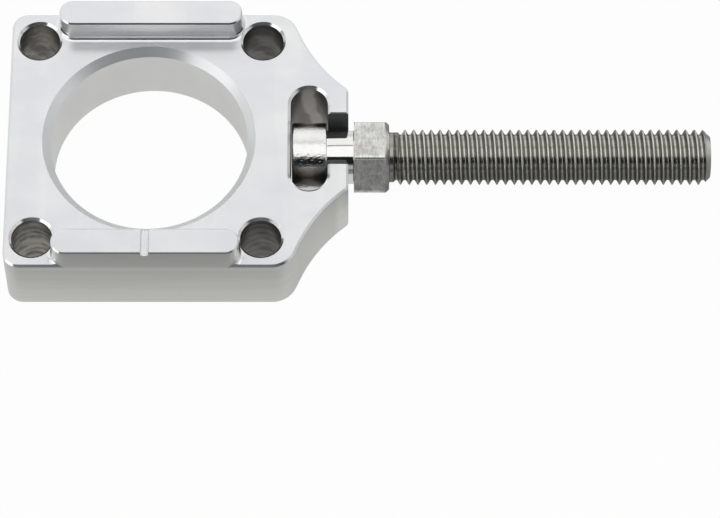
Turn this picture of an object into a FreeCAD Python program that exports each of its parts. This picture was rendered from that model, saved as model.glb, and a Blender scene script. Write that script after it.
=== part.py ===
import FreeCAD, Part
import math
import os

# Chain adjuster for the rear axle of a motorcycle, in two pieces: a milled aluminium block that
# the axle passes through, and a turned steel adjuster bolt whose round T-head sits in a slot at
# the block's nose. Turning the bolt in the swing arm's end moves the block and the axle.
# Millimetres. The origin is where the axle's axis (Z) crosses the bolt's axis (X), at half the
# plate's thickness. +X runs along the bolt to its threaded end, and +Z is the side of the pads.

# Axle bore
bore_dia = 28.0
bore_lead = 1.1            # lead-in chamfer on the side of the pads
bore_break = 0.35          # edge break on the flat side

# Plate
plate_thick = 11.0
edge_break = 0.3           # chamfer all round the outline, on both faces
rear_margin = 4.0          # from the hole centres to the rear edge
rear_corner_r = 2.3

# Corner holes, on a square round the bore
hole_dia = 5.8
hole_break = 0.35          # on the side of the pads
hole_back_break = 0.2      # on the flat side
hole_step = 2.0            # hole centres lie this far outside the bore's edge, along X and Y

# Pads that run in the swing arm's slot, their outer walls flush with the plate's sides
pad_land = 1.45            # flat strip between the bore's lead-in and a pad
pad_width = 4.0
pad_height = 3.8
pad_corner_r = 1.9
pad_corner_share = 0.48    # the corners never take more than this share of a pad's width
pad_break = 0.2            # chamfer round the top
pad_foot_r = 0.8           # hollow radius where a pad stands on the plate
pad_hole_gap = 0.05        # along X, from a pad's end to the corner hole

# Index marks, cut with a ball-nosed cutter
mark_width = 1.2
mark_depth = 0.75
mark_start = 1.9           # from the bore to the mark on the flat side, which lies on +Y

# Adjuster bolt, turned from hexagon bar
hex_af = 10.0              # across flats
hex_thick = 5.0
hex_face_dia = 9.2         # the circle that the corners are turned down to, thread side
hex_back_dia = 11.0        # the same on the block's side
hex_gap = 0.8              # from the block's nose to the hexagon
hex_bevel = 30.0           # slope of the turned corners, from the faces
head_dia = 9.8
head_thick = 4.9
head_rim = 0.35            # edge break on the head's free face
head_neck_rim = 0.2        # the same on the side of the neck
neck_dia = 7.6
collar_dia = 7.1
collar_length = 1.3
thread_dia = 8.0
thread_length = 44.4
thread_run_in = 0.45
tip_chamfer = 1.05

# T-slot that holds the bolt's head
head_gap = 0.2             # on each side of the head, along X
head_run = 0.7             # on each side of the head, along Y, before the slot's round end
neck_gap = 0.3             # on each side of the neck
slot_web = 6.0             # metal between the bore and the slot
nose_wall = 2.9            # metal between the slot and the nose
cheek_width = 4.0          # nose on each side of the neck's notch
slot_break = 0.4
notch_break = 0.15

# Shoulders between the plate's sides and its nose
nose_angle = 38.0          # the hollow's direction where it meets the nose, from X
shoulder_angle = 66.0      # its direction at the plate's side
shoulder_flat = 1.95       # straight stretch between the hollow and the shoulder's corner
shoulder_corner_r = 3.6
nose_corner_r = 1.0

# Sizes that follow from those
bore_r = bore_dia / 2
hole_r = hole_dia / 2
hole_xy = bore_r + hole_step
top = plate_thick / 2
bottom = -plate_thick / 2
rear_x = -(hole_xy + rear_margin)
pad_inner = bore_r + bore_lead + pad_land
pad_outer = pad_inner + pad_width
pad_half = hole_xy - hole_r - pad_hole_gap
side_y = pad_outer
head_r = head_dia / 2
neck_r = neck_dia / 2
slot_width = head_thick + 2 * head_gap
slot_half = head_r + head_run + slot_width / 2
slot_x = bore_r + slot_web + slot_width / 2
nose_x = slot_x + slot_width / 2 + nose_wall
notch_half = neck_r + neck_gap
nose_half = notch_half + cheek_width
head_x = slot_x - head_thick / 2
hex_x = nose_x + hex_gap
collar_x = hex_x + hex_thick
thread_x = collar_x + collar_length
tip_x = thread_x + thread_length
past = 1.0                 # how far a cutting tool runs past the metal that it cuts
same = 1e-6                # places nearer to each other than this count as one

Vec = FreeCAD.Vector
along_x = Vec(1, 0, 0)
along_z = Vec(0, 0, 1)


def line(a, b):
    return Part.LineSegment(a, b).toShape()


def arc(a, mid, b):
    return Part.Arc(a, mid, b).toShape()


def on_circle(centre, radius, degrees):
    turn = math.radians(degrees)
    return centre + Vec(radius * math.cos(turn), radius * math.sin(turn), 0)


def prism(wire, height):
    return Part.Face(wire).extrude(Vec(0, 0, height))


def mirrored(edges):
    """The same edges on the other side of the XZ plane."""
    return [edge.mirror(Vec(0, 0, 0), Vec(0, 1, 0)) for edge in edges]


def joined(edges):
    return Part.Wire(Part.__sortEdges__(edges))


def rounded_rectangle(x_low, x_high, y_low, y_high, radius, z):
    """A rectangle with rounded corners, as a wire at height z."""
    corners = [(x_high - radius, y_high - radius, 0), (x_low + radius, y_high - radius, 90),
               (x_low + radius, y_low + radius, 180), (x_high - radius, y_low + radius, 270)]
    arcs = []
    for x, y, start in corners:
        centre = Vec(x, y, z)
        arcs.append([on_circle(centre, radius, start + step) for step in (0, 45, 90)])
    edges = [arc(*points) for points in arcs]
    for here, following in zip(arcs, arcs[1:] + arcs[:1]):
        if here[2].distanceToPoint(following[0]) > same:
            edges.append(line(here[2], following[0]))
    return joined(edges)


def half_outline(z):
    """The plate's outline on the +Y side, from the middle of the rear edge to that of the nose."""
    tangent = shoulder_corner_r * math.tan(math.radians(shoulder_angle / 2))
    steep = math.radians(shoulder_angle)
    shallow = math.radians(nose_angle)
    nose = Vec(nose_x, nose_half, z)
    hollow_top = side_y - (tangent + shoulder_flat) * math.sin(steep)
    hollow_r = (hollow_top - nose_half) / (math.cos(shallow) - math.cos(steep))
    hollow_centre = nose + Vec(hollow_r * math.sin(shallow), hollow_r * math.cos(shallow), 0)
    hollow = [on_circle(hollow_centre, hollow_r, 270 - angle)
              for angle in (shoulder_angle, (shoulder_angle + nose_angle) / 2, nose_angle)]
    corner_x = hollow[0].x - (side_y - hollow[0].y) / math.tan(steep)
    corner_centre = Vec(corner_x - tangent, side_y - shoulder_corner_r, z)
    corner = [on_circle(corner_centre, shoulder_corner_r, angle)
              for angle in (90, 90 - shoulder_angle / 2, 90 - shoulder_angle)]
    rear_centre = Vec(rear_x + rear_corner_r, side_y - rear_corner_r, z)
    rear = [on_circle(rear_centre, rear_corner_r, angle) for angle in (180, 135, 90)]
    return [line(Vec(rear_x, 0, z), rear[0]), arc(*rear), line(rear[2], corner[0]), arc(*corner),
            line(corner[2], hollow[0]), arc(*hollow), line(nose, Vec(nose_x, 0, z))]


def plate():
    """The plate's blank: its outline with rounded nose corners and broken edges."""
    upper = half_outline(bottom)
    body = prism(joined(upper + mirrored(upper)), plate_thick)
    nose_corners = [edge for edge in body.Edges
                    if abs(edge.CenterOfMass.x - nose_x) < same
                    and abs(abs(edge.CenterOfMass.y) - nose_half) < same
                    and abs(edge.CenterOfMass.z) < same]
    body = body.makeFillet(nose_corner_r, nose_corners)
    rims = [edge for edge in body.Edges if abs(abs(edge.CenterOfMass.z) - top) < same]
    return body.makeChamfer(edge_break, rims)


def pad(side):
    """One pad, its top edge broken, with a hollow radius round the foot that faces the plate."""
    low, high = sorted((side * pad_inner, side * pad_outer))
    corner = min(pad_corner_r, pad_corner_share * pad_width)
    base = top - edge_break
    body = prism(rounded_rectangle(-pad_half, pad_half, low, high, corner, base),
                 pad_height + edge_break)
    rim = [edge for edge in body.Edges if abs(edge.CenterOfMass.z - top - pad_height) < same]
    body = body.makeChamfer(pad_break, rim)
    reach = 2 * pad_foot_r
    ground = Part.makeBox(2 * (pad_half + reach), pad_width + 2 * reach, edge_break,
                          Vec(-pad_half - reach, low - reach, base))
    foot = ground.fuse(body)
    seam = [edge for edge in foot.Edges
            if abs(edge.CenterOfMass.z - top) < same
            and abs(edge.CenterOfMass.x) < pad_half + same
            and low - same < edge.CenterOfMass.y < high + same]
    foot = foot.makeFillet(pad_foot_r, seam)
    inside = side_y - edge_break
    foot = foot.common(Part.makeBox(2 * (pad_half + reach), 2 * inside, pad_height + edge_break,
                                    Vec(-pad_half - reach, -inside, base)))
    return body.fuse(foot)


def round_hole(x, y, radius, top_break, bottom_break):
    """A through hole's tool, flared at both faces."""
    tool = Part.makeCylinder(radius, plate_thick + 2 * past, Vec(x, y, bottom - past))
    for face, outward, flare in ((top, 1, top_break), (bottom, -1, bottom_break)):
        base = Vec(x, y, face - outward * flare)
        cone = Part.makeCone(radius, radius + flare, flare, base, along_z * outward)
        mouth = Part.makeCylinder(radius + flare, past, Vec(x, y, face), along_z * outward)
        tool = tool.fuse([cone, mouth])
    return tool


def obround(grown, z):
    """The slot's outline grown by an amount on all sides, as a wire at height z."""
    radius = slot_width / 2 + grown
    straight = slot_half - slot_width / 2
    far = Vec(slot_x, straight, z)
    near = Vec(slot_x, -straight, z)
    return joined([arc(*[on_circle(far, radius, angle) for angle in (0, 90, 180)]),
                   line(on_circle(far, radius, 180), on_circle(near, radius, 180)),
                   arc(*[on_circle(near, radius, angle) for angle in (180, 270, 360)]),
                   line(on_circle(near, radius, 0), on_circle(far, radius, 0))])


def head_slot():
    """The slot for the bolt's head, through the plate and flared at both faces."""
    tool = prism(obround(0, bottom - past), plate_thick + 2 * past)
    for face, outward in ((top, 1), (bottom, -1)):
        inner = obround(0, face - outward * slot_break)
        outer = obround(slot_break + past, face + outward * past)
        tool = tool.fuse(Part.makeLoft([inner, outer], True, True))
    return tool


def neck_notch():
    """The notch that the bolt's neck passes through, from the slot out through the nose."""
    low = bottom - past
    high = top + past
    section = [(-notch_half - notch_break - past, high), (-notch_half, top - notch_break),
               (-notch_half, bottom + notch_break), (-notch_half - notch_break - past, low),
               (notch_half + notch_break + past, low), (notch_half, bottom + notch_break),
               (notch_half, top - notch_break), (notch_half + notch_break + past, high)]
    points = [Vec(slot_x, y, z) for y, z in section]
    face = Part.Face(Part.makePolygon(points + points[:1]))
    return face.extrude(Vec(nose_x - slot_x + past, 0, 0))


def groove(y_start, y_end, face, outward, ball_end):
    """An index mark along Y at X = 0, cut into a face to mark_depth with a round bottom."""
    radius = mark_width / 2
    axis_z = face - outward * (mark_depth - radius)
    length = abs(y_end - y_start)
    direction = Vec(0, math.copysign(1, y_end - y_start), 0)
    tool = Part.makeCylinder(radius, length, Vec(0, y_start, axis_z), direction)
    low, high = sorted((axis_z, face + outward * past))
    walls = Part.makeBox(mark_width, length, high - low, Vec(-radius, min(y_start, y_end), low))
    tool = tool.fuse(walls)
    if ball_end:
        tool = tool.fuse(Part.makeSphere(radius, Vec(0, y_start, axis_z)))
        tool = tool.fuse(Part.makeCylinder(radius, high - low, Vec(0, y_start, low)))
    return tool


def axle_block():
    body = plate().fuse([pad(1), pad(-1)])
    tools = [round_hole(0, 0, bore_r, bore_lead, bore_break), head_slot(), neck_notch()]
    for x in (-hole_xy, hole_xy):
        for y in (-hole_xy, hole_xy):
            tools.append(round_hole(x, y, hole_r, hole_break, hole_back_break))
    pad_top = top + pad_height
    tools.append(groove(-pad_inner + past, -pad_outer - past, pad_top, 1, False))
    flat_start = bore_r + mark_start + mark_width / 2
    tools.append(groove(flat_start, side_y + past, bottom, -1, True))
    return body.cut(tools).removeSplitter()


def turned(profile):
    """A solid of revolution about X from (x, radius) points."""
    points = [Vec(x, 0, radius) for x, radius in profile]
    face = Part.Face(Part.makePolygon(points + points[:1]))
    return face.revolve(Vec(0, 0, 0), along_x, 360)


def hexagon():
    """The hexagon, one flat up, its corners turned down on both faces."""
    corner_r = hex_af / 2 / math.cos(math.radians(30))
    ring = []
    for corner in range(6):
        turn = math.radians(60 * corner)
        ring.append(Vec(hex_x, corner_r * math.cos(turn), corner_r * math.sin(turn)))
    body = Part.Face(Part.makePolygon(ring + ring[:1])).extrude(Vec(hex_thick, 0, 0))
    outer_r = corner_r + past
    slope = math.tan(math.radians(hex_bevel))
    back_r = hex_back_dia / 2
    face_r = hex_face_dia / 2
    collar_end = hex_x + hex_thick
    envelope = turned([(hex_x, 0), (hex_x, back_r), (hex_x + (outer_r - back_r) * slope, outer_r),
                       (collar_end - (outer_r - face_r) * slope, outer_r), (collar_end, face_r),
                       (collar_end, 0)])
    return body.common(envelope)


def adjuster_bolt():
    """T-head, neck, hexagon, collar and shank, turned from one bar. The thread is left plain."""
    head_end = head_x + head_thick
    thread_r = thread_dia / 2
    collar_r = collar_dia / 2
    head = turned([(head_x, 0), (head_x, head_r - head_rim), (head_x + head_rim, head_r),
                   (head_end - head_neck_rim, head_r), (head_end, head_r - head_neck_rim),
                   (head_end, neck_r), (hex_x, neck_r), (hex_x, 0)])
    shank = turned([(collar_x, 0), (collar_x, collar_r), (thread_x, collar_r),
                    (thread_x + thread_run_in, thread_r), (tip_x - tip_chamfer, thread_r),
                    (tip_x, thread_r - tip_chamfer), (tip_x, 0)])
    return head.fuse([hexagon(), shank])


def write(name, shape):
    solids = shape.Solids
    solid = solids[0] if len(solids) == 1 else shape
    assert len(solids) == 1 and solid.isValid(), name
    solid.exportStep("parts/" + name + ".step")
    print(name, round(solid.Volume, 1), "mm3")


os.makedirs("parts", exist_ok=True)
write("axle_block", axle_block())
write("adjuster_bolt", adjuster_bolt())
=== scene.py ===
# Chain adjuster: a milled aluminium axle block and its turned adjuster bolt, on a pale studio floor.
# Everything is built in metres in the part's own frame: the axle's axis is Z, the bolt's axis is X.
# The dictionaries of the two pieces give their sizes in millimetres.
import math
from types import SimpleNamespace
import bpy
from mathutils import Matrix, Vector


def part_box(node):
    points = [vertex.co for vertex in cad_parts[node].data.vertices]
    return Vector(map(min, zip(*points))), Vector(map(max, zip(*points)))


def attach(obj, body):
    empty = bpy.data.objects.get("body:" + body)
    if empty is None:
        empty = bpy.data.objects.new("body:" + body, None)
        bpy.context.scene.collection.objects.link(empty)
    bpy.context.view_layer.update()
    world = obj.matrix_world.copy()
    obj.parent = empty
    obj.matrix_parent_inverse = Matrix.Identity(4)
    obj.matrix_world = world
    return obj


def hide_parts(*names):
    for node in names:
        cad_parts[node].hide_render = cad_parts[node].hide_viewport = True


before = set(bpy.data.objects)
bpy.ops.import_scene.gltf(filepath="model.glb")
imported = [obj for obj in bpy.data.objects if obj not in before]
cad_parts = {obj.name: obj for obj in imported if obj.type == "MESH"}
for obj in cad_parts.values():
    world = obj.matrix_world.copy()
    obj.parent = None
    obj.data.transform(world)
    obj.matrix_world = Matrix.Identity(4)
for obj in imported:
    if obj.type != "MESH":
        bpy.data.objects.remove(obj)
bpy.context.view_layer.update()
mm = 0.001
blockLow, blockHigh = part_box("axle_block")
boltLow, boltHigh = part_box("adjuster_bolt")
headStart, tipEnd = round(boltLow.x / mm, 3), round(boltHigh.x / mm, 3)
print("frame loaded")


# Shader nodes, written as Python expressions
class Signal:  # an output socket that takes part in sums
    def __init__(self, maker, socket):
        self.maker = maker
        self.socket = socket

    def joined(self, operation, first, second):
        kind = "VectorMath" if self.socket.type == "VECTOR" else "Math"
        return self.maker.add(kind, {"operation": operation}, {0: first, 1: second})

    def __add__(self, other):
        return self.joined("ADD", self, other)

    def __radd__(self, other):
        return self.joined("ADD", other, self)

    def __sub__(self, other):
        return self.joined("SUBTRACT", self, other)

    def __rsub__(self, other):
        return self.joined("SUBTRACT", other, self)

    def __mul__(self, other):
        return self.joined("MULTIPLY", self, other)

    def __rmul__(self, other):
        return self.joined("MULTIPLY", other, self)

    def __truediv__(self, other):
        return self.joined("DIVIDE", self, other)

    def __pow__(self, other):
        return self.joined("POWER", self, other)

    def __neg__(self):
        return self.joined("SUBTRACT", 0.0, self)

    def __abs__(self):
        return self.maker.add("Math", {"operation": "ABSOLUTE"}, {0: self})


class Maker:  # adds nodes to one node tree
    def __init__(self, tree):
        self.tree = tree
        tree.nodes.clear()

    def add(self, kind, settings=None, inputs=None, output=0):
        # any node: its settings are set first, then the values or links of its sockets
        node = self.tree.nodes.new("ShaderNode" + kind)
        for name, value in (settings or {}).items():
            setattr(node, name, value)
        for key, value in (inputs or {}).items():
            if isinstance(value, Signal):
                self.tree.links.new(value.socket, node.inputs[key])
            else:
                node.inputs[key].default_value = value
        return Signal(self, node.outputs[output]) if len(node.outputs) else None

    def placeInMm(self):  # the shaded point in the part's frame
        return self.add("TexCoord", output="Object") * (1 / mm, 1 / mm, 1 / mm)

    def ray(self, kind):  # 1 where a ray of this kind arrives
        return self.add("LightPath", output="Is " + kind + " Ray")

    def between(self, value, low, high):  # 0 below low, 1 above high, smooth between
        return self.add("MapRange", {"interpolation_type": "SMOOTHSTEP"},
                        {"Value": value, "From Min": low, "From Max": high})

    def inside(self, value, low, high, blur):  # 1 between low and high
        above = self.between(value, high - blur, high + blur)
        return self.between(value, low - blur, low + blur) * (1 - above)

    def larger(self, first, second):
        return self.add("Math", {"operation": "MAXIMUM"}, {0: first, 1: second})

    def wave(self, phase):  # a sine between 0 and 1
        return self.add("Math", {"operation": "SINE"}, {0: phase}) * 0.5 + 0.5

    def tint(self, share, first, second):  # a colour between two colours; 6, 7 and 2 are the colour sockets
        return self.add("Mix", {"data_type": "RGBA"}, {0: share, 6: first, 7: second}, 2)

    def grain(self, place, scale, detail=2.0, roughness=0.5):  # scale: cells per mm along X, Y and Z
        return self.add("TexNoise", {}, {"Vector": place * scale, "Scale": 1.0, "Detail": detail,
                                         "Roughness": roughness})

    def split(self, vector):
        parts = self.add("SeparateXYZ", {}, {0: vector}).socket.node
        return [Signal(self, part) for part in parts.outputs]

    def vector(self, x, y, z):
        return self.add("CombineXYZ", {}, {0: x, 1: y, 2: z})

    def dot(self, first, second):
        return self.add("VectorMath", {"operation": "DOT_PRODUCT"}, {0: first, 1: second}, "Value")

    def bump(self, height, strength, distance):
        return self.add("Bump", {}, {"Height": height, "Strength": strength, "Distance": distance})

    def metal(self, colour, roughness, normal):
        return self.add("BsdfPrincipled", {}, {"Base Color": colour, "Metallic": 1.0,
                                               "Roughness": roughness, "Normal": normal})

    def mixShader(self, share, first, second):
        return self.add("MixShader", {}, {0: share, 1: first, 2: second})

    def finish(self, shader, kind="Material"):
        self.add("Output" + kind, {}, {"Surface": shader})


def blended(share, first, second):  # a level between two levels
    return first + share * (second - first)


def newMaterial(name):
    material = bpy.data.materials.new(name)
    material.use_nodes = True
    return material, Maker(material.node_tree)


def newMesh(name, points, faces):
    mesh = bpy.data.meshes.new(name)
    mesh.from_pydata(points, [], faces)
    mesh.validate()
    return mesh


def newObject(name, data):
    made = bpy.data.objects.new(name, data)
    bpy.context.scene.collection.objects.link(made)
    return made


# Axle block: milled aluminium, its finish worked out from where each face lies, with painted shade and
# painted highlights on some faces
block = {
    # where its features lie
    "boreRadius": 14.0,
    "leadRadius": 15.1,
    "holeSpan": 16.0,
    "holeRadius": 2.9,
    "slotCentre": 22.65,
    "slotHalfWidth": 2.65,
    "slotHalfLength": 8.25,
    "notchHalf": 4.1,
    "padMiddle": 18.5,
    "padSideRise": (5.7, 6.2),
    "outerWall": (20.3, 20.4),
    "padOutsideRise": (5.2, 5.5),
    "footLineSpan": (4.2, 4.95, 0.2),
    "hollowAlong": (20.5, 27.4, 1.0),
    "hollowAside": (9.0, 10.0),
    "slotNearEnd": (4.2, 6.0),
    # how sharply one finish gives way to the next
    "flatTilt": (0.93, 0.985),
    "wallTilt": (0.08, 0.25),
    "maskEdge": (0.03, 0.12),
    "notchFade": 0.5,
    "padFade": 0.3,
    "sideFade": 4.0,
    # colours, the darker first
    "faceColours": ((0.855, 0.865, 0.895, 1.0), (0.95, 0.95, 0.95, 1.0)),
    "passColour": (0.84, 0.85, 0.885, 1.0),
    "passShare": 0.25,
    "wallColours": ((0.865, 0.87, 0.82, 1.0), (0.91, 0.91, 0.87, 1.0)),
    "edgeColours": ((0.865, 0.88, 0.89, 1.0), (0.90, 0.915, 0.925, 1.0)),
    # painted highlight: the pads' inner side walls are paler than the other walls
    "padSideHighlightColours": ((0.93, 0.935, 0.94, 1.0), (0.97, 0.97, 0.97, 1.0)),
    # painted shade: the pads' outer walls are darker
    "padOutsideShadeColour": (0.80, 0.805, 0.765, 1.0),
    # painted highlight: a pale line along the outer wall just below its top edge
    "footLineHighlightColour": (0.955, 0.96, 0.925, 1.0),
    # painted shade: the shoulder walls beside the nose are darker
    "hollowColour": (0.785, 0.79, 0.75, 1.0),
    "boreColours": ((0.87, 0.87, 0.85, 1.0), (0.91, 0.91, 0.895, 1.0)),
    # painted shade in the slot, paler where its painted wedge of light lies
    "slotShadeAndLightColours": ((0.16, 0.15, 0.14, 1.0), (0.45, 0.43, 0.395, 1.0)),
    # painted shade in the notch
    "notchShadeColour": (0.15, 0.155, 0.155, 1.0),
    # painted shade: dark hole walls, with turned rings and smears over it
    "holeShadeAndMarkColours": ((0.085, 0.08, 0.075, 1.0), (0.44, 0.42, 0.375, 1.0)),
    # gloss, and the share of a hazier layer over it
    "faceRoughness": 0.23,
    "wallRoughness": 0.37,
    "edgeRoughness": 0.16,
    "leadRoughness": 0.31,
    "boredRoughness": 0.36,
    "notchRoughness": 0.70,
    "roughnessSpread": 0.04,
    "hazeRoughness": 0.62,
    "hazeEdge": 0.09,
    "hazeFace": 0.36,
    "hazeLead": 0.40,
    # milling marks: scale, detail and roughness of each grain, and the range that is spread to 0 to 1
    "cloudGrain": ((0.11, 0.17, 0.14), 3.0),
    "cloudRange": (0.30, 0.70),
    "passGrain": ((0.22, 0.02, 0.02), 0.0),
    "passRange": (0.47, 0.53),
    "streakGrain": ((0.25, 4.0, 4.0), 4.0, 0.65),
    "bandGrain": ((0.045, 0.045, 0.75), 2.0),
    "bandRange": (0.25, 0.75),
    "fineGrain": ((0.5, 0.5, 22.0), 2.0, 0.6),
    # the slot's painted shade, its painted pale wedge of light, and the tremble over it
    "driftGrain": ((0.3, 0.3, 0.3), 2.0),
    "drift": 2.4,
    "wedgeLean": 0.16,
    "wedgeSpan": (-0.4, 1.4, 0.35),
    "wedgeShare": 0.65,
    "trembleGrain": ((0.8, 0.8, 0.4), 3.0),
    "notchCalm": 0.7,
    "nearEndCalmAndShade": 0.8,
    # the corner holes' turned rings and smears over painted dark shade, stronger at the near side, and
    # paler on the left as painted light
    "ringPitch": 1.55,
    "wobbleGrain": ((0.25, 0.25, 0.5), 2.0),
    "wobble": 7.0,
    "ringShare": 0.10,
    "ringShareNear": 0.32,
    "fineRingGrain": ((0.3, 0.3, 5.5), 2.0),
    "fineRingShare": 0.30,
    "smearScale": (0.40, 0.35, 0.30),
    "smearLean": (0.30, 0.0, -0.20),
    "smearDetail": 3.0,
    "smearRange": (0.38, 0.64),
    "holeTone": 0.46,
    "holeToneLeft": 1.0,
    "holeToneNearLeft": 1.40,
    # how deep each mark is, and the bump's strength and height in metres
    "streakDepth": 0.25,
    "bandDepth": 0.3,
    "fineDepth": 0.25,
    "ringDepth": 7.0,
    "fineRingDepth": 1.5,
    "chatterDepth": 2.0,
    "relief": (0.35, 0.00002),
}


def fromCornerHole(x, y, span):  # distance from the nearest corner hole's axis
    return ((abs(x) - span) ** 2.0 + (abs(y) - span) ** 2.0) ** 0.5


def blockRegions(maker, place):
    # masks over the block's surface, each 1 on its region and 0 off it
    x, y, z = maker.split(place)
    aside = abs(y)
    fromAxis = (x * x + y * y) ** 0.5
    tilt = abs(maker.split(maker.add("TexCoord", output="Normal"))[2])

    def upTo(value, limit):
        start, end = block["maskEdge"]
        return 1 - maker.between(value, limit + start, limit + end)

    on = SimpleNamespace()
    on.flat = maker.between(tilt, *block["flatTilt"])
    on.wall = 1 - maker.between(tilt, *block["wallTilt"])
    on.hole = on.wall * upTo(fromCornerHole(x, y, block["holeSpan"]), block["holeRadius"])
    fromSlot = x - block["slotCentre"]
    on.notch = on.wall * upTo(aside, block["notchHalf"]) * maker.between(fromSlot, 0.0, block["notchFade"])
    slot = on.wall * upTo(abs(fromSlot), block["slotHalfWidth"])
    on.slot = maker.larger(slot * upTo(aside, block["slotHalfLength"]), on.notch)
    on.bored = maker.larger(on.hole, on.slot)
    on.bore = on.wall * upTo(fromAxis, block["boreRadius"])
    on.lead = upTo(fromAxis, block["leadRadius"]) * (1 - on.wall) * (1 - on.flat)
    inward = 1 - maker.between(aside - block["padMiddle"], -block["padFade"], block["padFade"])
    # where the painted highlight goes: the pads' inner side walls
    on.padSide = on.wall * maker.between(z, *block["padSideRise"]) * inward
    outer = on.wall * maker.between(aside, *block["outerWall"])
    # where the painted shade goes: the pads' outer walls
    on.padOutside = outer * maker.between(z, *block["padOutsideRise"])
    # where the painted highlight line goes, on the outer wall
    on.footLine = outer * maker.inside(z, *block["footLineSpan"])
    # where the painted shade goes: the shoulder walls
    shoulder = maker.inside(x, *block["hollowAlong"]) * maker.between(aside, *block["hollowAside"])
    on.hollow = on.wall * shoulder
    return on


def millingMarks(maker, place):
    marks = SimpleNamespace()
    marks.cloud = maker.between(maker.grain(place, *block["cloudGrain"]), *block["cloudRange"])
    marks.passes = maker.between(maker.grain(place, *block["passGrain"]), *block["passRange"])
    marks.streak = maker.grain(place, *block["streakGrain"])
    marks.band = maker.between(maker.grain(place, *block["bandGrain"]), *block["bandRange"])
    marks.fine = maker.grain(place, *block["fineGrain"])
    return marks


def slotChatterAndPaintedLight(maker, place, on):
    # painted light and shade in the slot, with real chatter relief: a pale wedge on the slot's far end,
    # calmer and darker in the notch and at the near end
    x, y, z = maker.split(place)
    drift = (maker.grain(place, *block["driftGrain"]) - 0.5) * block["drift"]
    wedge = maker.inside(x - block["slotCentre"] + z * block["wedgeLean"] + drift, *block["wedgeSpan"])
    chatterAndPaintedLight = blended(block["wedgeShare"], maker.grain(place, *block["trembleGrain"]), wedge)
    # painted shade: the slot's near end is darker
    paintedShadeNearEnd = maker.between(-y, *block["slotNearEnd"])
    return chatterAndPaintedLight * (1 - on.notch * block["notchCalm"]) * (1 - paintedShadeNearEnd * block["nearEndCalmAndShade"])


def holeMarksAndPaintedLight(maker, place):
    # the corner holes' tone from 0 to 1, real rings and smears with painted shade and painted light, and
    # the depth of their rings
    x, y, z = maker.split(place)
    fade = block["sideFade"]
    near = maker.between(-y, -fade, fade)
    left = maker.between(-x, -fade, fade)
    ringShare = blended(near, block["ringShare"], block["ringShareNear"])
    wobble = maker.grain(place, *block["wobbleGrain"]) * block["wobble"]
    rings = maker.wave(z * (2 * math.pi / block["ringPitch"]) + wobble)
    fineRings = maker.grain(place, *block["fineRingGrain"])
    leaning = place * block["smearScale"] + maker.vector(z, y, x) * block["smearLean"]
    smear = maker.grain(leaning, (1.0, 1.0, 1.0), block["smearDetail"])
    smear = maker.between(smear, *block["smearRange"])
    fineShare = block["fineRingShare"]
    tone = rings * ringShare + fineRings * fineShare + smear * (1 - fineShare - ringShare)
    # painted light: the holes on the left are paler
    leftTone = blended(near, block["holeToneLeft"], block["holeToneNearLeft"])
    tone = tone * blended(left, block["holeTone"], leftTone)
    depth = rings * ringShare * block["ringDepth"] + fineRings * block["fineRingDepth"]
    return tone, depth


def blockColour(maker, on, marks, chatterAndPaintedLight, holeTone):
    face = maker.tint(marks.cloud, *block["faceColours"])
    face = maker.tint(marks.passes * block["passShare"], face, block["passColour"])
    edge = maker.tint(marks.cloud, *block["edgeColours"])
    colour = maker.tint(on.wall, face, maker.tint(marks.band, *block["wallColours"]))
    colour = maker.tint(maker.larger(on.flat, on.wall), edge, colour)
    # painted light and shade: paler pad inner walls and a pale foot line are painted highlights; darker pad
    # outer walls, shoulders, slot, notch and holes are painted shade
    for region, paint in ((on.padSide, maker.tint(marks.band, *block["padSideHighlightColours"])),
                          (on.padOutside, block["padOutsideShadeColour"]),
                          (on.footLine, block["footLineHighlightColour"]),
                          (on.hollow, block["hollowColour"]),
                          (on.bore, maker.tint(marks.cloud, *block["boreColours"])),
                          (on.slot, maker.tint(chatterAndPaintedLight, *block["slotShadeAndLightColours"])),
                          (on.notch, block["notchShadeColour"]),
                          (on.hole, maker.tint(holeTone, *block["holeShadeAndMarkColours"]))):
        colour = maker.tint(region, colour, paint)
    return colour


def blockRoughness(on, marks):
    edge, wall, bored = block["edgeRoughness"], block["wallRoughness"], block["boredRoughness"]
    roughness = edge + on.flat * (block["faceRoughness"] - edge) + on.wall * (wall - edge)
    roughness = roughness + on.bored * (bored - wall) + on.notch * (block["notchRoughness"] - bored)
    roughness = roughness + on.lead * (block["leadRoughness"] - edge)
    return roughness + (marks.cloud + marks.streak - 1) * block["roughnessSpread"]


def blockHeight(on, marks, chatterAndPaintedLight, holeDepth):
    wallDepth = marks.band * block["bandDepth"] + marks.fine * block["fineDepth"]
    height = on.flat * marks.streak * block["streakDepth"] + on.wall * wallDepth
    return height + on.hole * holeDepth + on.slot * chatterAndPaintedLight * block["chatterDepth"]


def blockMaterial():
    material, maker = newMaterial("milledAluminium")
    place = maker.placeInMm()
    on = blockRegions(maker, place)
    marks = millingMarks(maker, place)
    chatterAndPaintedLight = slotChatterAndPaintedLight(maker, place, on)
    holeTone, holeDepth = holeMarksAndPaintedLight(maker, place)
    colour = blockColour(maker, on, marks, chatterAndPaintedLight, holeTone)
    bump = maker.bump(blockHeight(on, marks, chatterAndPaintedLight, holeDepth), *block["relief"])
    gloss = maker.metal(colour, blockRoughness(on, marks), bump)
    haze = maker.metal(colour, block["hazeRoughness"], bump)
    broad = maker.larger(on.flat, on.wall * (1 - on.bored))
    share = blended(broad, block["hazeEdge"], block["hazeFace"])
    share = share + on.lead * (block["hazeLead"] - block["hazeEdge"])
    maker.finish(maker.mixShader(share, gloss, haze))
    return material


def dressBlock():
    material = blockMaterial()
    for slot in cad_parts["axle_block"].material_slots:
        slot.material = material
    print("axle block dressed")


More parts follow.
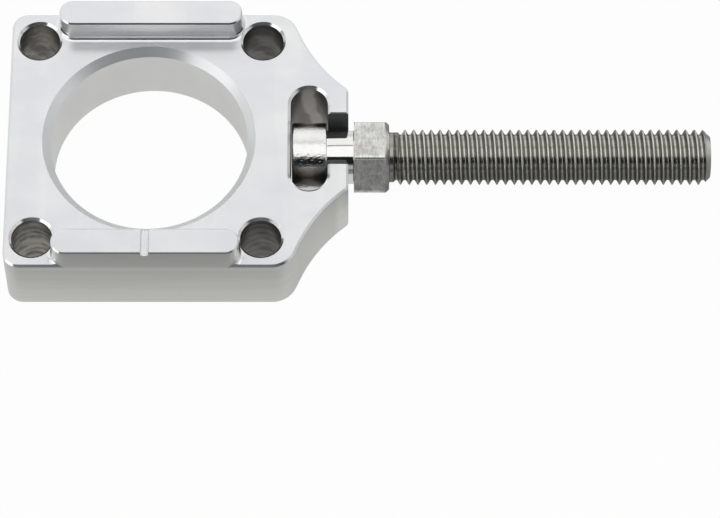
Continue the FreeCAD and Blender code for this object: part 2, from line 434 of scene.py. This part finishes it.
# Adjuster bolt: turned from bar, its section drawn along X
bolt = {
    # head and neck
    "headEnd": 25.1,
    "headRadius": 4.9,
    "headRim": 0.32,
    "rimSteps": 4,
    "rimSupport": 1.2,
    "faceRadii": (0.35, 2.2, 3.98),
    "neckRadius": 3.8,
    "neckFillet": 0.12,
    "neckFlare": (0.1, 0.08),
    # hexagon, measured from its axis to its flats
    "hexStart": 29.0,
    "hexEnd": 34.0,
    "hexFlat": 5.0,
    "hexCorner": 0.50,
    "hexBackRadius": 5.5,
    "hexBackSlope": 30.0,
    "hexFaceRadius": 4.6,
    "hexFaceDepth": 0.42,
    "hexFaceSlope": 0.35,
    # collar, thread and tip
    "collarRadius": 3.55,
    "collarFillet": 0.1,
    "collarGap": 0.06,
    "collarEnd": 35.25,
    "threadStart": 34.58,
    "pitch": 1.25,
    "flankAngle": 30.0,
    "crestRadius": 3.94,
    "crestRound": 0.10,
    "rootRound": 0.28,
    "crestPlace": 36.25,
    "crestTurn": 27.0,
    "runOutSlope": 0.8,
    "tipRadius": 2.95,
    "tipLength": 1.02,
    "tipRadii": (2.43, 0.4),
    # columns round the axis, and rows along the crest's round, a flank and the root's round
    "columns": 114,
    "cornerColumns": (-1.4, -0.7, 0.7, 1.4),
    "crestRows": 2,
    "flankRows": 3,
    "rootRows": 4,
    "mergeWithin": 0.004,
    "leastRise": 0.0001,
    "sharpAngle": 38.0,
    # polished head and neck, pitted on the head
    "polishColours": ((0.88, 0.875, 0.845, 1.0), (0.95, 0.945, 0.93, 1.0)),
    "polishGrain": ((0.5, 0.5, 0.5), 2.0),
    "polishRoughness": 0.06,
    "pitGrain": ((2.0, 2.4, 2.4), 3.0, 0.65),
    "pitRoughness": 0.03,
    "headPitRoughness": 0.07,
    "neckPits": 0.04,
    "pitRelief": (0.9, 0.00006),
    "pitFade": 0.05,
    # brushed hexagon with polished corners
    "brushColours": ((0.51, 0.505, 0.475, 1.0), (0.93, 0.925, 0.905, 1.0)),
    "bendGrain": ((0.35, 0.35, 0.35), 1.0),
    "bend": (3.2, 1.6, 1.6),
    "brushScale": (5.5, 1.1, 1.1),
    "brushDetail": (4.0, 0.7),
    "brushRange": (0.34, 0.66),
    "brushShare": 0.55,
    "mottleGrain": ((0.7, 0.9, 0.9), 3.0, 0.6),
    "mottleRange": (0.36, 0.64),
    "brushRoughness": 0.22,
    "brushSpread": 0.10,
    "brushRelief": (0.8, 0.00003),
    "cornerRadii": (5.58, 5.64),
    "cornerRoughness": 0.12,
    # thread: painted highlights on crests, in the roots and at the tip, painted shade on its flanks and the
    # collar; real stains over it
    "threadShadeAndHighlightColours": ((0.235, 0.23, 0.205, 1.0), (0.81, 0.805, 0.77, 1.0)),
    "stainColour": (0.36, 0.35, 0.31, 1.0),
    "stainShare": 0.25,
    "stainGrain": ((0.4, 0.6, 0.6), 2.0),
    "stainRange": (0.35, 0.65),
    "crestRadii": (3.62, 3.92),
    "rootRadii": (3.24, 3.42),
    "rootBright": 0.62,
    "tipSpan": (-0.9, -0.6),
    "tipBright": 0.8,
    "collarFade": 0.1,
    "collarBright": 0.3,
    "threadRoughness": 0.19,
    "threadGrain": ((1.6, 0.8, 0.8), 2.0, 0.6),
    "threadSpread": 0.08,
    "threadRelief": (0.3, 0.00001),
}
headSlot, hexSlot, threadSlot = 0, 1, 2
hexSides = 6
sideTurn = 360.0 / hexSides


class Lathe:  # the bolt's mesh as it grows: points in rings round X, one for each column's angle
    def __init__(self, angles):
        self.angles = angles
        self.points = []
        self.faces = []
        self.slots = []

    def addPoint(self, x, radius, angle):
        turn = math.radians(angle)
        self.points.append((x * mm, radius * math.cos(turn) * mm, radius * math.sin(turn) * mm))
        return len(self.points) - 1

    def addRing(self, places):  # places: one (x, radius) per column
        return [self.addPoint(x, radius, angle) for angle, (x, radius) in zip(self.angles, places)]

    def addRound(self, x, radius):
        return self.addRing([(x, radius)] * len(self.angles))

    def addFace(self, corners, slot):  # corners that meet count once
        kept = list(dict.fromkeys(corners))
        if len(kept) > 2:
            self.faces.append(kept)
            self.slots.append(slot)

    def addStrips(self, rings, slot):
        for low, high in zip(rings, rings[1:]):
            for column in range(len(low)):
                following = (column + 1) % len(low)
                self.addFace([low[column], high[column], high[following], low[following]], slot)


def columnAngles():
    # angles round the axis from +Y towards +Z, closer together at the hexagon's corners
    step = 360.0 / bolt["columns"]
    angles = [step * column for column in range(bolt["columns"])]
    for side in range(hexSides):
        angles += [(sideTurn * side + offset) % 360.0 for offset in bolt["cornerColumns"]]
    return sorted(angles)


def headOutline():
    # head and neck as (x, radius) points, from near the middle of the head's face to the hexagon
    endX, hexStart = bolt["headEnd"], bolt["hexStart"]
    radius, neckRadius = bolt["headRadius"], bolt["neckRadius"]
    rim, fillet, support = bolt["headRim"], bolt["neckFillet"], bolt["rimSupport"]
    backRim = rim / 2
    halfway = fillet * (1 - math.sqrt(0.5))
    flareLength, flareRise = bolt["neckFlare"]
    turns = [math.radians(90.0 * step / bolt["rimSteps"]) for step in range(1, bolt["rimSteps"] + 1)]
    outline = [(headStart, faceRadius) for faceRadius in (*bolt["faceRadii"], radius - rim)]
    outline += [(headStart + rim * (1 - math.cos(turn)), radius - rim * (1 - math.sin(turn)))
                for turn in turns]
    outline += [(headStart + support, radius), (endX - support, radius), (endX - backRim, radius)]
    outline += [(endX - backRim * (1 - math.sin(turn)), radius - backRim * (1 - math.cos(turn)))
                for turn in turns]
    outline += [(endX, neckRadius + fillet), (endX + halfway, neckRadius + halfway),
                (endX + fillet, neckRadius)]
    return outline + [(hexStart - flareLength, neckRadius), (hexStart, neckRadius + flareRise)]


def hexRadius(angle):
    # the hexagon's outline as a radius, its corners slightly rounded
    half = math.radians(sideTurn / 2)
    turn = math.radians(angle % sideTurn) - half
    rounding = bolt["hexCorner"]
    centre = (bolt["hexFlat"] - rounding) / math.cos(half)
    aside = half - abs(turn)
    if centre * math.sin(aside) > rounding * math.sin(half):
        return bolt["hexFlat"] / math.cos(turn)
    return centre * math.cos(aside) + math.sqrt(rounding ** 2 - (centre * math.sin(aside)) ** 2)


def threadRadius(phase):
    # the thread's section: rounded crest, straight flanks, rounded root; phase in mm from a crest
    pitch, crest = bolt["pitch"], bolt["crestRadius"]
    crestRound, rootRound = bolt["crestRound"], bolt["rootRound"]
    flank = math.radians(bolt["flankAngle"])
    across, along = math.cos(flank), math.sin(flank)
    away = abs((phase + pitch / 2) % pitch - pitch / 2)
    fromRoot = pitch / 2 - away
    if away < crestRound * across:
        return crest - crestRound + math.sqrt(crestRound ** 2 - away ** 2)
    flankTop = crest - crestRound * (1 - along)
    flankRun = pitch / 2 - (crestRound + rootRound) * across
    flankFoot = flankTop - flankRun * across / along
    if fromRoot < rootRound * across:
        return flankFoot + rootRound * along - math.sqrt(rootRound ** 2 - fromRoot ** 2)
    return flankTop - (away - crestRound * across) * across / along


def rowPhases():
    # where the mesh's rows lie within one pitch, from a crest over the root to the next crest
    pitch = bolt["pitch"]
    across = math.cos(math.radians(bolt["flankAngle"]))
    crestEdge, rootEdge = bolt["crestRound"] * across, pitch / 2 - bolt["rootRound"] * across
    phases = [0.0]
    for target, rows in ((crestEdge, bolt["crestRows"]), (rootEdge, bolt["flankRows"]),
                         (pitch / 2, bolt["rootRows"])):
        start = phases[-1]
        phases += [start + (target - start) * row / rows for row in range(1, rows + 1)]
    return phases + [pitch - phase for phase in reversed(phases[1:-1])]


def turnedDown(x, radius):
    # the first groove runs out at the collar, and the crests are turned down towards both ends
    runOut = bolt["collarRadius"] - (x - bolt["threadStart"]) * bolt["runOutSlope"]
    if radius < runOut:
        return runOut
    lead = bolt["collarRadius"] + max(0.0, x - bolt["collarEnd"])
    tipSlope = (bolt["crestRadius"] - bolt["tipRadius"]) / bolt["tipLength"]
    return min(radius, lead, bolt["tipRadius"] + (tipEnd - x) * tipSlope)


def addHead(lathe):
    rings = [lathe.addRound(x, radius) for x, radius in headOutline()]
    lathe.addFace(list(reversed(rings[0])), headSlot)
    lathe.addStrips(rings, headSlot)
    return rings[-1]


def addHexagon(lathe, neckRing):
    startX, endX, backRadius = bolt["hexStart"], bolt["hexEnd"], bolt["hexBackRadius"]
    slope = math.tan(math.radians(bolt["hexBackSlope"]))
    radii = [hexRadius(angle) for angle in lathe.angles]
    backEdge = lathe.addRing([(startX, min(radius, backRadius)) for radius in radii])
    backShoulder = list(backEdge)
    for column, radius in enumerate(radii):
        rise = radius - backRadius
        if rise > bolt["leastRise"]:
            backShoulder[column] = lathe.addPoint(startX + rise * slope, radius, lathe.angles[column])
    shoulderX = endX - bolt["hexFaceDepth"]
    faceShoulder = lathe.addRing([(shoulderX - (radius - bolt["hexFlat"]) * bolt["hexFaceSlope"], radius)
                                  for radius in radii])
    faceEdge = lathe.addRound(endX, bolt["hexFaceRadius"])
    collarFoot = lathe.addRound(endX, bolt["collarRadius"] + bolt["collarFillet"])
    lathe.addStrips([neckRing, backEdge, backShoulder, faceShoulder, faceEdge, collarFoot], hexSlot)
    return collarFoot


def addCollar(lathe, collarFoot):
    radius = bolt["collarRadius"]
    rings = [collarFoot, lathe.addRound(bolt["hexEnd"] + bolt["collarFillet"], radius),
             lathe.addRound(bolt["threadStart"] - bolt["collarGap"], radius)]
    lathe.addStrips(rings, threadSlot)
    return rings[-1]


def addThread(lathe, collarRing):
    # rows follow the helix, so that crest and root stay sharp; where one passes an end, it meets its ring
    startX, pitch, within = bolt["threadStart"], bolt["pitch"], bolt["mergeWithin"]
    crestAtZero = bolt["crestPlace"] - pitch * bolt["crestTurn"] / 360.0
    phases = rowPhases()
    perTurn = len(phases)
    count = len(lathe.angles)

    def cutRing(x):  # a ring square to the axis, through the thread
        return lathe.addRing([(x, turnedDown(x, threadRadius(x - crestAtZero - pitch * angle / 360.0)))
                              for angle in lathe.angles])

    startRing, endRing = cutRing(startX), cutRing(tipEnd)
    firstTurn = math.floor((startX - crestAtZero) / pitch) - 1
    lastTurn = math.ceil((tipEnd - crestAtZero) / pitch) + 1
    rowCount = (lastTurn - firstTurn) * perTurn
    index = {}
    for row in range(rowCount):
        phase = phases[row % perTurn]
        rowPlace = crestAtZero + (firstTurn + row // perTurn) * pitch + phase
        for column, angle in enumerate(lathe.angles):
            x = rowPlace + pitch * angle / 360.0
            if x <= startX + within:
                index[row, column] = startRing[column]
            elif x >= tipEnd - within:
                index[row, column] = endRing[column]
            else:
                index[row, column] = lathe.addPoint(x, turnedDown(x, threadRadius(phase)), angle)

    def corner(row, column):  # past the last column, a row goes on as the one a turn further along
        if column == count:
            return index.get((row + perTurn, 0), endRing[0])
        return index[row, column]

    for row in range(rowCount - 1):
        for column in range(count):
            lathe.addFace([corner(row, column), corner(row + 1, column),
                           corner(row + 1, column + 1), corner(row, column + 1)], threadSlot)
    lathe.addStrips([collarRing, startRing], threadSlot)
    return endRing


def addTip(lathe, endRing):
    rings = [endRing] + [lathe.addRound(tipEnd, radius) for radius in bolt["tipRadii"]]
    lathe.addStrips(rings, threadSlot)
    lathe.addFace(rings[-1], threadSlot)


def buildBolt():
    lathe = Lathe(columnAngles())
    neckRing = addHead(lathe)
    collarFoot = addHexagon(lathe, neckRing)
    collarRing = addCollar(lathe, collarFoot)
    endRing = addThread(lathe, collarRing)
    addTip(lathe, endRing)
    mesh = newMesh("turnedBolt", lathe.points, lathe.faces)
    mesh.polygons.foreach_set("material_index", lathe.slots)
    mesh.shade_smooth()
    mesh.set_sharp_from_angle(angle=math.radians(bolt["sharpAngle"]))
    print("bolt built:", len(lathe.points), "points,", len(lathe.faces), "faces")
    return newObject("turned_bolt", mesh)


def polishedMaterial():
    material, maker = newMaterial("polishedHead")
    place = maker.placeInMm()
    fade = bolt["pitFade"]
    onHead = 1 - maker.between(maker.split(place)[0] - bolt["headEnd"], -fade, fade)
    pit = maker.grain(place, *bolt["pitGrain"])
    colour = maker.tint(maker.grain(place, *bolt["polishGrain"]), *bolt["polishColours"])
    pitRoughness = bolt["pitRoughness"] + onHead * bolt["headPitRoughness"]
    roughness = bolt["polishRoughness"] + pit * pitRoughness
    bump = maker.bump(pit * blended(onHead, bolt["neckPits"], 1.0), *bolt["pitRelief"])
    maker.finish(maker.metal(colour, roughness, bump))
    return material


def brushedMaterial():
    material, maker = newMaterial("brushedFlats")
    place = maker.placeInMm()
    x, y, z = maker.split(place)
    bend = maker.grain(place, *bolt["bendGrain"])
    brushed = place * bolt["brushScale"] + maker.vector(bend, bend, bend) * bolt["bend"]
    streak = maker.grain(brushed, (1.0, 1.0, 1.0), *bolt["brushDetail"])
    mottle = maker.grain(place, *bolt["mottleGrain"])
    tone = blended(bolt["brushShare"], maker.between(mottle, *bolt["mottleRange"]),
                   maker.between(streak, *bolt["brushRange"]))
    colour = maker.tint(tone, *bolt["brushColours"])
    onCorner = maker.between((y * y + z * z) ** 0.5, *bolt["cornerRadii"])
    roughness = bolt["brushRoughness"] + (mottle + streak) * bolt["brushSpread"]
    roughness = blended(onCorner, roughness, bolt["cornerRoughness"])
    bump = maker.bump(streak * (1 - onCorner), *bolt["brushRelief"])
    maker.finish(maker.metal(colour, roughness, bump))
    return material


def threadMaterial():
    material, maker = newMaterial("rolledThread")
    place = maker.placeInMm()
    x, y, z = maker.split(place)
    fromAxis = (y * y + z * z) ** 0.5
    fade = bolt["collarFade"]
    onTip = maker.between(x - tipEnd, *bolt["tipSpan"])
    onCollar = 1 - maker.between(x - bolt["threadStart"], -fade, fade)
    onCrest = maker.between(fromAxis, *bolt["crestRadii"])
    inRoot = 1 - maker.between(fromAxis, *bolt["rootRadii"])
    # painted highlight on crests, roots, tip and collar; painted shade on the flanks
    paintedHighlight = maker.larger(maker.larger(onCrest, inRoot * bolt["rootBright"]),
                          maker.larger(onTip * bolt["tipBright"], onCollar * bolt["collarBright"]))
    stain = maker.between(maker.grain(place, *bolt["stainGrain"]), *bolt["stainRange"])
    patch = maker.grain(place, *bolt["threadGrain"])
    colour = maker.tint(paintedHighlight, *bolt["threadShadeAndHighlightColours"])
    colour = maker.tint(stain * bolt["stainShare"], colour, bolt["stainColour"])
    roughness = bolt["threadRoughness"] + patch * bolt["threadSpread"]
    maker.finish(maker.metal(colour, roughness, maker.bump(patch, *bolt["threadRelief"])))
    return material


def dressBolt(piece):
    for material in (polishedMaterial(), brushedMaterial(), threadMaterial()):  # in the order of the slots
        piece.data.materials.append(material)
    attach(piece, "bolt")
    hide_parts("adjuster_bolt")
    print("bolt dressed")


# Floor: white to the camera; in the metal's reflections its glow is painted light and painted shadow, set
# at each place
floor = {
    "size": 4.0,
    "colour": (0.66, 0.665, 0.66, 1.0),
    "whiteShare": 0.97,
    "glossyShare": 0.80,
    # glow levels: painted light and painted shadow on the floor as the metal reflects it, darker far out
    # and under the bolt
    "innerGlow": 0.70,
    "nearGlow": 0.62,
    "nearStart": 0.011,
    "farGlow": 0.15,
    "farReach": 0.014,
    "behindGlow": 0.86,
    "behindSpan": (0.015, 0.03),
    "boltGlow": 0.20,
    "boltAlong": (0.031, 0.036),
    "boltAside": (0.015, 0.03),
    "backGlow": 0.62,
    "backSpan": (0.05, 0.35),
    "holeRing": (0.0034, 0.0042),
}


def paintedFloorGlow(maker, x, y):
    # painted light and painted shadow: the floor's brightness in reflections, chosen place by place
    edge = blockHigh.y
    paintedShadowUnderBolt = maker.between(x, *floor["boltAlong"]) * (1 - maker.between(abs(y), *floor["boltAside"]))
    glow = floor["innerGlow"]
    for share, level in ((maker.between(-y, floor["nearStart"], edge), floor["nearGlow"]),
                         (maker.between(-y, edge, edge + floor["farReach"]), floor["farGlow"]),
                         (maker.between(y, *floor["behindSpan"]), floor["behindGlow"]),
                         (paintedShadowUnderBolt, floor["boltGlow"]),
                         (maker.between(y, *floor["backSpan"]), floor["backGlow"])):
        glow = blended(share, glow, level)
    return glow


def floorMaterial():
    material, maker = newMaterial("paleFloor")
    x, y, z = maker.split(maker.add("TexCoord", output="Object"))
    glow = paintedFloorGlow(maker, x, y)
    clearOfHoles = maker.between(fromCornerHole(x, y, block["holeSpan"] * mm), *floor["holeRing"])
    seen = clearOfHoles * maker.larger(maker.ray("Camera"), maker.ray("Transmission"))
    colour = maker.tint(seen, maker.vector(glow, glow, glow), (1.0, 1.0, 1.0, 1.0))
    share = seen * floor["whiteShare"] + maker.ray("Glossy") * floor["glossyShare"]
    diffuse = maker.add("BsdfDiffuse", {}, {"Color": floor["colour"]})
    white = maker.add("Emission", {}, {"Color": colour, "Strength": 1.0})
    maker.finish(maker.mixShader(share, diffuse, white))
    return material


def buildFloor():
    half, low = floor["size"] / 2, blockLow.z
    corners = [(-half, -half, low), (half, -half, low), (half, half, low), (-half, half, low)]
    ground = newObject("studio_floor", newMesh("studioFloor", corners, [(0, 1, 2, 3)]))
    ground.data.materials.append(floorMaterial())
    print("floor laid")


# Lamps: an overhead softbox and one on the left
lamps = [
    {"name": "overheadSoftbox", "place": (0.02, -0.10, 1.5), "target": (0.02, -0.10, 0.0),
     "width": 2.80, "depth": 1.29, "level": 1.06},
    {"name": "leftSoftbox", "place": (-0.75, -0.45, 0.28), "target": (0.0, 0.0, 0.0),
     "width": 0.70, "depth": 0.60, "level": 1.28},
]


def lampTurn(lamp):
    return (Vector(lamp["target"]) - Vector(lamp["place"])).to_track_quat("-Z", "Y")


def buildLamps():
    for lamp in lamps:
        light = bpy.data.lights.new(lamp["name"], "AREA")
        light.shape = "RECTANGLE"
        light.size = lamp["width"]
        light.size_y = lamp["depth"]
        light.energy = lamp["level"] * math.pi * lamp["width"] * lamp["depth"]
        hung = newObject(lamp["name"], light)
        hung.location = lamp["place"]
        hung.rotation_euler = lampTurn(lamp).to_euler()
        hung.visible_camera = False
    print("lamps hung")


# Room: white to the camera; to the metal pale behind the part, dark behind the camera, grey at the sides.
# A turn is a range of the sideways share of a direction, a rise a range of its height,
# and a tilt a range of the tangent of its angle from straight up.
room = {
    "horizon": 0.64,
    "horizonLeft": 0.20,
    "horizonRight": -0.12,
    "horizonTurn": (0.2, 0.9),
    "top": 0.94,
    "topRise": (0.12, 0.50),
    "gapTilt": (0.364, 0.488, 0.015),
    "gapDepth": 0.65,
    "dark": 0.012,
    "nearWall": 0.40,
    "nearWallTilt": (1.45, 2.60),
    "nearFoot": -0.27,
    "nearFootTilt": (4.5, 12.0),
    "leftWall": 0.80,
    "leftTurn": (0.52, 0.66),
    "rightWall": 0.60,
    "rightTurn": (0.68, 0.95),
    "nearTurn": (0.0, 0.35),
    "nearColour": (0.90, 1.0, 1.08, 1.0),
    "nearColourRise": (0.12, 0.35),
    "lampEdge": 0.012,
    "lampHorizon": 0.1,
}


def behindLamp(maker, direction, lamp):
    # 1 in the directions that a lamp covers as seen from the part, so that lamp and room don't add up
    turn, place, blur = lampTurn(lamp), Vector(lamp["place"]), room["lampEdge"]
    forward = turn @ Vector((0.0, 0.0, -1.0))
    reach = place.dot(forward)
    ahead = maker.dot(direction, forward)
    covered = maker.between(ahead * (1 / reach), 0.0, room["lampHorizon"] / abs(reach))
    for axis, size in (((1.0, 0.0, 0.0), lamp["width"]), ((0.0, 1.0, 0.0), lamp["depth"])):
        side = turn @ Vector(axis)
        offset = abs(maker.dot(direction, side) / ahead * reach - place.dot(side))
        covered = covered * (1 - maker.between(offset, size / 2 - blur, size / 2 + blur))
    return covered


def buildRoom():
    world = bpy.data.worlds.new("studioRoom")
    world.use_nodes = True
    bpy.context.scene.world = world
    maker = Maker(world.node_tree)
    direction = maker.add("TexCoord", output="Generated")
    x, y, z = maker.split(direction)
    flatLength = (x * x + y * y) ** 0.5 + 0.0001  # never 0
    nearShare = -y / flatLength                   # 1 towards the camera's side, -1 behind the part
    leftShare = -x / flatLength                   # 1 towards the left, -1 towards the right
    tilt = -y / maker.larger(z, 0.001)
    horizon = room["horizon"] + maker.between(leftShare, *room["horizonTurn"]) * room["horizonLeft"]
    horizon = horizon + maker.between(-leftShare, *room["horizonTurn"]) * room["horizonRight"]
    back = blended(maker.between(z, *room["topRise"]), horizon, room["top"])
    back = back * (1 - maker.inside(-tilt, *room["gapTilt"]) * room["gapDepth"])
    left = maker.between(leftShare, *room["leftTurn"])
    right = maker.between(-leftShare, *room["rightTurn"])
    near = room["dark"] + maker.between(tilt, *room["nearWallTilt"]) * room["nearWall"]
    near = near + maker.between(tilt, *room["nearFootTilt"]) * room["nearFoot"]
    near = blended(left, near, room["leftWall"])
    near = blended(right, near, room["rightWall"])
    nearSide = maker.between(nearShare, *room["nearTurn"])
    level = blended(nearSide, back, near)
    for lamp in lamps:
        level = level * (1 - behindLamp(maker, direction, lamp))
    cameraRay = maker.ray("Camera")
    cool = (1 - cameraRay) * nearSide * (1 - left) * (1 - right) * maker.between(z, *room["nearColourRise"])
    colour = maker.tint(cool, (1.0, 1.0, 1.0, 1.0), room["nearColour"])
    maker.finish(maker.add("Background", {}, {"Color": colour, "Strength": blended(cameraRay, level, 1.0)}),
                 "World")
    print("room set")


# Camera: in front of the part and well above it, looking along +Y and down
view = {
    "elevation": 61.9,
    "distance": 0.5688,
    "target": (0.02986, -0.01938, 0.0055),
    "lens": 204.3,
    "sensor": 36.0,
    "clipEnd": 20.0,
}


def buildCamera():
    data = bpy.data.cameras.new("studioCamera")
    data.sensor_width = view["sensor"]
    data.lens = view["lens"]
    data.clip_end = view["clipEnd"]
    camera = newObject("studio_camera", data)
    lift = math.radians(view["elevation"])
    back = Vector((0.0, -math.cos(lift), math.sin(lift)))
    camera.location = Vector(view["target"]) + back * view["distance"]
    camera.rotation_euler = (-back).to_track_quat("-Z", "Y").to_euler()
    bpy.context.scene.camera = camera
    print("camera placed")


def writeSizes():
    print("no sizes written")


dressBlock()
dressBolt(buildBolt())
buildFloor()
buildLamps()
buildRoom()
buildCamera()
bpy.context.scene.view_settings.view_transform = "Standard"
writeSizes()
